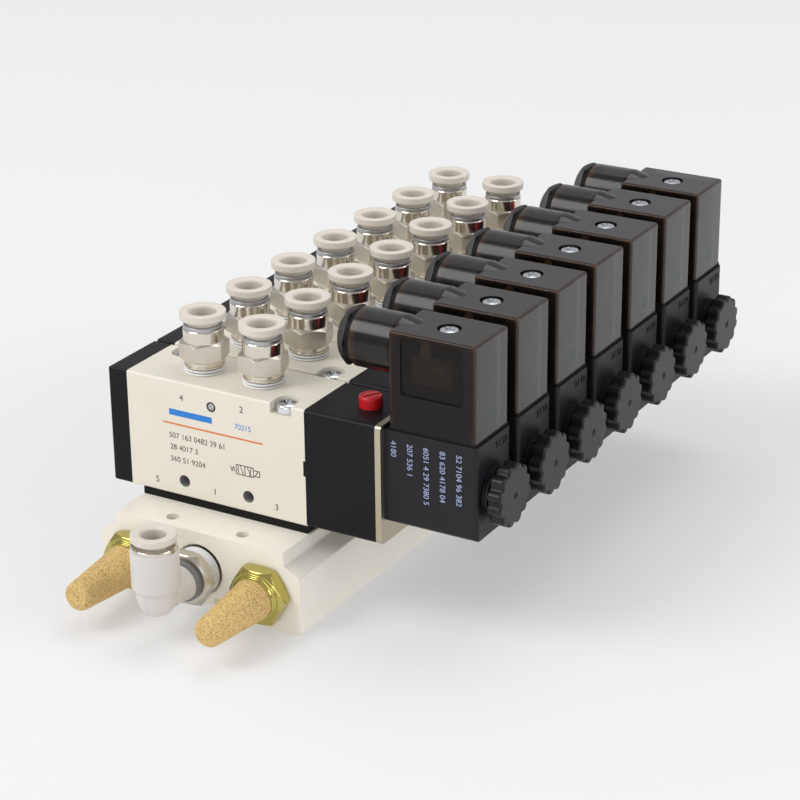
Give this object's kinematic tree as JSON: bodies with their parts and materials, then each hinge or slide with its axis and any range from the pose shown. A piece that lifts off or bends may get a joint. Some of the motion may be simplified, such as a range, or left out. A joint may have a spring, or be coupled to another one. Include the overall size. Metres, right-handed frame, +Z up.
{
  "type": "pneumatic valve island",
  "caption": "Row of single-solenoid spool valves on a common manifold, with push-in tube fittings, plug connectors, exhaust silencers and a swivel supply elbow.",
  "frame": {"origin": "centre of the four mounting holes on the manifold's underside", "axes": "+Z up, +X towards the solenoid coils, -Y towards the end with silencers and supply elbow"},
  "size_m": [0.1473, 0.2612, 0.1063],
  "materials": {
    "manifold": "matte cream anodising",
    "end_plug": "oxide",
    "bronze_hex": "machined",
    "sintered_bronze": "sintered",
    "nickel": "nickel plated",
    "elbow_plastic": "satin",
    "collar_plastic": "satin",
    "rubber": "matte",
    "ivory": "satin ivory paint",
    "cap_black": "gloss",
    "pilot_black": "satin",
    "plate": "nickel",
    "coil_black": "matte",
    "steel": "zinc",
    "knob_black": "satin",
    "smoke": "translucent smoke",
    "block": "matte",
    "terminal": "tinned",
    "gland_black": "satin",
    "red": "gloss",
    "spool": "anodised"
  },
  "bodies": {
    "base": {"manifold": "manifold", "manifold_end_plugs": "end_plug", "silencer_hexes": "bronze_hex", "silencer_cones": "sintered_bronze", "elbow_stud": "nickel", "valve_gaskets": "rubber", "valve_bodies": "ivory", "end_caps": "cap_black", "pilot_blocks": "pilot_black", "bracket_plates": "plate", "solenoid_coils": "coil_black", "armature_tubes": "steel", "coil_washers": "steel", "plug_gaskets": "rubber", "plug_housings": "smoke", "plug_terminal_blocks": "block", "plug_screws": "steel", "gland_seals": "rubber", "gland_nuts": "gland_black", "valve_screws": "steel", "coil_terminals": "terminal", "fitting_bodies": "nickel"},
    "elbow_body": {"elbow_body": "elbow_plastic"},
    "elbow_collar": {"elbow_collar": "collar_plastic"},
    "override_button_1": {"override_button_1": "red"},
    "release_collar_a_1": {"release_collar_a_1": "collar_plastic"},
    "release_collar_b_1": {"release_collar_b_1": "collar_plastic"},
    "coil_nut_1": {"coil_nut_1": "knob_black"},
    "spool_1": {"spool_1": "spool"},
    "override_button_2": {"override_button_2": "red"},
    "release_collar_a_2": {"release_collar_a_2": "collar_plastic"},
    "release_collar_b_2": {"release_collar_b_2": "collar_plastic"},
    "coil_nut_2": {"coil_nut_2": "knob_black"},
    "spool_2": {"spool_2": "spool"},
    "override_button_3": {"override_button_3": "red"},
    "release_collar_a_3": {"release_collar_a_3": "collar_plastic"},
    "release_collar_b_3": {"release_collar_b_3": "collar_plastic"},
    "coil_nut_3": {"coil_nut_3": "knob_black"},
    "spool_3": {"spool_3": "spool"},
    "override_button_4": {"override_button_4": "red"},
    "release_collar_a_4": {"release_collar_a_4": "collar_plastic"},
    "release_collar_b_4": {"release_collar_b_4": "collar_plastic"},
    "coil_nut_4": {"coil_nut_4": "knob_black"},
    "spool_4": {"spool_4": "spool"},
    "override_button_5": {"override_button_5": "red"},
    "release_collar_a_5": {"release_collar_a_5": "collar_plastic"},
    "release_collar_b_5": {"release_collar_b_5": "collar_plastic"},
    "coil_nut_5": {"coil_nut_5": "knob_black"},
    "spool_5": {"spool_5": "spool"},
    "override_button_6": {"override_button_6": "red"},
    "release_collar_a_6": {"release_collar_a_6": "collar_plastic"},
    "release_collar_b_6": {"release_collar_b_6": "collar_plastic"},
    "coil_nut_6": {"coil_nut_6": "knob_black"},
    "spool_6": {"spool_6": "spool"},
    "override_button_7": {"override_button_7": "red"},
    "release_collar_a_7": {"release_collar_a_7": "collar_plastic"},
    "release_collar_b_7": {"release_collar_b_7": "collar_plastic"},
    "coil_nut_7": {"coil_nut_7": "knob_black"},
    "spool_7": {"spool_7": "spool"}
  },
  "joints": [
    {"name": "elbow_swivel", "type": "hinge", "parent": "base", "child": "elbow_body", "pos_m": [0, -0.125, 0.0148], "axis": [0, 1, 0], "range_deg": [-60, 60]},
    {"name": "elbow_collar_press", "type": "slide", "parent": "elbow_body", "child": "elbow_collar", "axis": [0, 0, -1], "range_m": [0, 0.0014], "stiffness_N_per_m": 300, "springref_m": -0.002},
    {"name": "override_press_1", "type": "slide", "parent": "base", "child": "override_button_1", "axis": [0, 0, -1], "range_m": [0, 0.002], "stiffness_N_per_m": 600, "springref_m": -0.003},
    {"name": "spool_shift_1", "type": "slide", "parent": "base", "child": "spool_1", "axis": [-1, 0, 0], "range_m": [0, 0.004], "stiffness_N_per_m": 400, "springref_m": -0.01},
    {"name": "coil_nut_turn_1", "type": "hinge", "parent": "base", "child": "coil_nut_1", "pos_m": [0.099, -0.084, 0.0527], "axis": [1, 0, 0], "continuous": true},
    {"name": "collar_a_press_1", "type": "slide", "parent": "base", "child": "release_collar_a_1", "axis": [0, 0, -1], "range_m": [0, 0.0014], "stiffness_N_per_m": 300, "springref_m": -0.002},
    {"name": "collar_b_press_1", "type": "slide", "parent": "base", "child": "release_collar_b_1", "axis": [0, 0, -1], "range_m": [0, 0.0014], "stiffness_N_per_m": 300, "springref_m": -0.002},
    {"name": "override_press_2", "type": "slide", "parent": "base", "child": "override_button_2", "axis": [0, 0, -1], "range_m": [0, 0.002], "stiffness_N_per_m": 600, "springref_m": -0.003},
    {"name": "spool_shift_2", "type": "slide", "parent": "base", "child": "spool_2", "axis": [-1, 0, 0], "range_m": [0, 0.004], "stiffness_N_per_m": 400, "springref_m": -0.01},
    {"name": "coil_nut_turn_2", "type": "hinge", "parent": "base", "child": "coil_nut_2", "pos_m": [0.099, -0.056, 0.0527], "axis": [1, 0, 0], "continuous": true},
    {"name": "collar_a_press_2", "type": "slide", "parent": "base", "child": "release_collar_a_2", "axis": [0, 0, -1], "range_m": [0, 0.0014], "stiffness_N_per_m": 300, "springref_m": -0.002},
    {"name": "collar_b_press_2", "type": "slide", "parent": "base", "child": "release_collar_b_2", "axis": [0, 0, -1], "range_m": [0, 0.0014], "stiffness_N_per_m": 300, "springref_m": -0.002},
    {"name": "override_press_3", "type": "slide", "parent": "base", "child": "override_button_3", "axis": [0, 0, -1], "range_m": [0, 0.002], "stiffness_N_per_m": 600, "springref_m": -0.003},
    {"name": "spool_shift_3", "type": "slide", "parent": "base", "child": "spool_3", "axis": [-1, 0, 0], "range_m": [0, 0.004], "stiffness_N_per_m": 400, "springref_m": -0.01},
    {"name": "coil_nut_turn_3", "type": "hinge", "parent": "base", "child": "coil_nut_3", "pos_m": [0.099, -0.028, 0.0527], "axis": [1, 0, 0], "continuous": true},
    {"name": "collar_a_press_3", "type": "slide", "parent": "base", "child": "release_collar_a_3", "axis": [0, 0, -1], "range_m": [0, 0.0014], "stiffness_N_per_m": 300, "springref_m": -0.002},
    {"name": "collar_b_press_3", "type": "slide", "parent": "base", "child": "release_collar_b_3", "axis": [0, 0, -1], "range_m": [0, 0.0014], "stiffness_N_per_m": 300, "springref_m": -0.002},
    {"name": "override_press_4", "type": "slide", "parent": "base", "child": "override_button_4", "axis": [0, 0, -1], "range_m": [0, 0.002], "stiffness_N_per_m": 600, "springref_m": -0.003},
    {"name": "spool_shift_4", "type": "slide", "parent": "base", "child": "spool_4", "axis": [-1, 0, 0], "range_m": [0, 0.004], "stiffness_N_per_m": 400, "springref_m": -0.01},
    {"name": "coil_nut_turn_4", "type": "hinge", "parent": "base", "child": "coil_nut_4", "pos_m": [0.099, 0, 0.0527], "axis": [1, 0, 0], "continuous": true},
    {"name": "collar_a_press_4", "type": "slide", "parent": "base", "child": "release_collar_a_4", "axis": [0, 0, -1], "range_m": [0, 0.0014], "stiffness_N_per_m": 300, "springref_m": -0.002},
    {"name": "collar_b_press_4", "type": "slide", "parent": "base", "child": "release_collar_b_4", "axis": [0, 0, -1], "range_m": [0, 0.0014], "stiffness_N_per_m": 300, "springref_m": -0.002},
    {"name": "override_press_5", "type": "slide", "parent": "base", "child": "override_button_5", "axis": [0, 0, -1], "range_m": [0, 0.002], "stiffness_N_per_m": 600, "springref_m": -0.003},
    {"name": "spool_shift_5", "type": "slide", "parent": "base", "child": "spool_5", "axis": [-1, 0, 0], "range_m": [0, 0.004], "stiffness_N_per_m": 400, "springref_m": -0.01},
    {"name": "coil_nut_turn_5", "type": "hinge", "parent": "base", "child": "coil_nut_5", "pos_m": [0.099, 0.028, 0.0527], "axis": [1, 0, 0], "continuous": true},
    {"name": "collar_a_press_5", "type": "slide", "parent": "base", "child": "release_collar_a_5", "axis": [0, 0, -1], "range_m": [0, 0.0014], "stiffness_N_per_m": 300, "springref_m": -0.002},
    {"name": "collar_b_press_5", "type": "slide", "parent": "base", "child": "release_collar_b_5", "axis": [0, 0, -1], "range_m": [0, 0.0014], "stiffness_N_per_m": 300, "springref_m": -0.002},
    {"name": "override_press_6", "type": "slide", "parent": "base", "child": "override_button_6", "axis": [0, 0, -1], "range_m": [0, 0.002], "stiffness_N_per_m": 600, "springref_m": -0.003},
    {"name": "spool_shift_6", "type": "slide", "parent": "base", "child": "spool_6", "axis": [-1, 0, 0], "range_m": [0, 0.004], "stiffness_N_per_m": 400, "springref_m": -0.01},
    {"name": "coil_nut_turn_6", "type": "hinge", "parent": "base", "child": "coil_nut_6", "pos_m": [0.099, 0.056, 0.0527], "axis": [1, 0, 0], "continuous": true},
    {"name": "collar_a_press_6", "type": "slide", "parent": "base", "child": "release_collar_a_6", "axis": [0, 0, -1], "range_m": [0, 0.0014], "stiffness_N_per_m": 300, "springref_m": -0.002},
    {"name": "collar_b_press_6", "type": "slide", "parent": "base", "child": "release_collar_b_6", "axis": [0, 0, -1], "range_m": [0, 0.0014], "stiffness_N_per_m": 300, "springref_m": -0.002},
    {"name": "override_press_7", "type": "slide", "parent": "base", "child": "override_button_7", "axis": [0, 0, -1], "range_m": [0, 0.002], "stiffness_N_per_m": 600, "springref_m": -0.003},
    {"name": "spool_shift_7", "type": "slide", "parent": "base", "child": "spool_7", "axis": [-1, 0, 0], "range_m": [0, 0.004], "stiffness_N_per_m": 400, "springref_m": -0.01},
    {"name": "coil_nut_turn_7", "type": "hinge", "parent": "base", "child": "coil_nut_7", "pos_m": [0.099, 0.084, 0.0527], "axis": [1, 0, 0], "continuous": true},
    {"name": "collar_a_press_7", "type": "slide", "parent": "base", "child": "release_collar_a_7", "axis": [0, 0, -1], "range_m": [0, 0.0014], "stiffness_N_per_m": 300, "springref_m": -0.002},
    {"name": "collar_b_press_7", "type": "slide", "parent": "base", "child": "release_collar_b_7", "axis": [0, 0, -1], "range_m": [0, 0.0014], "stiffness_N_per_m": 300, "springref_m": -0.002}
  ]
}
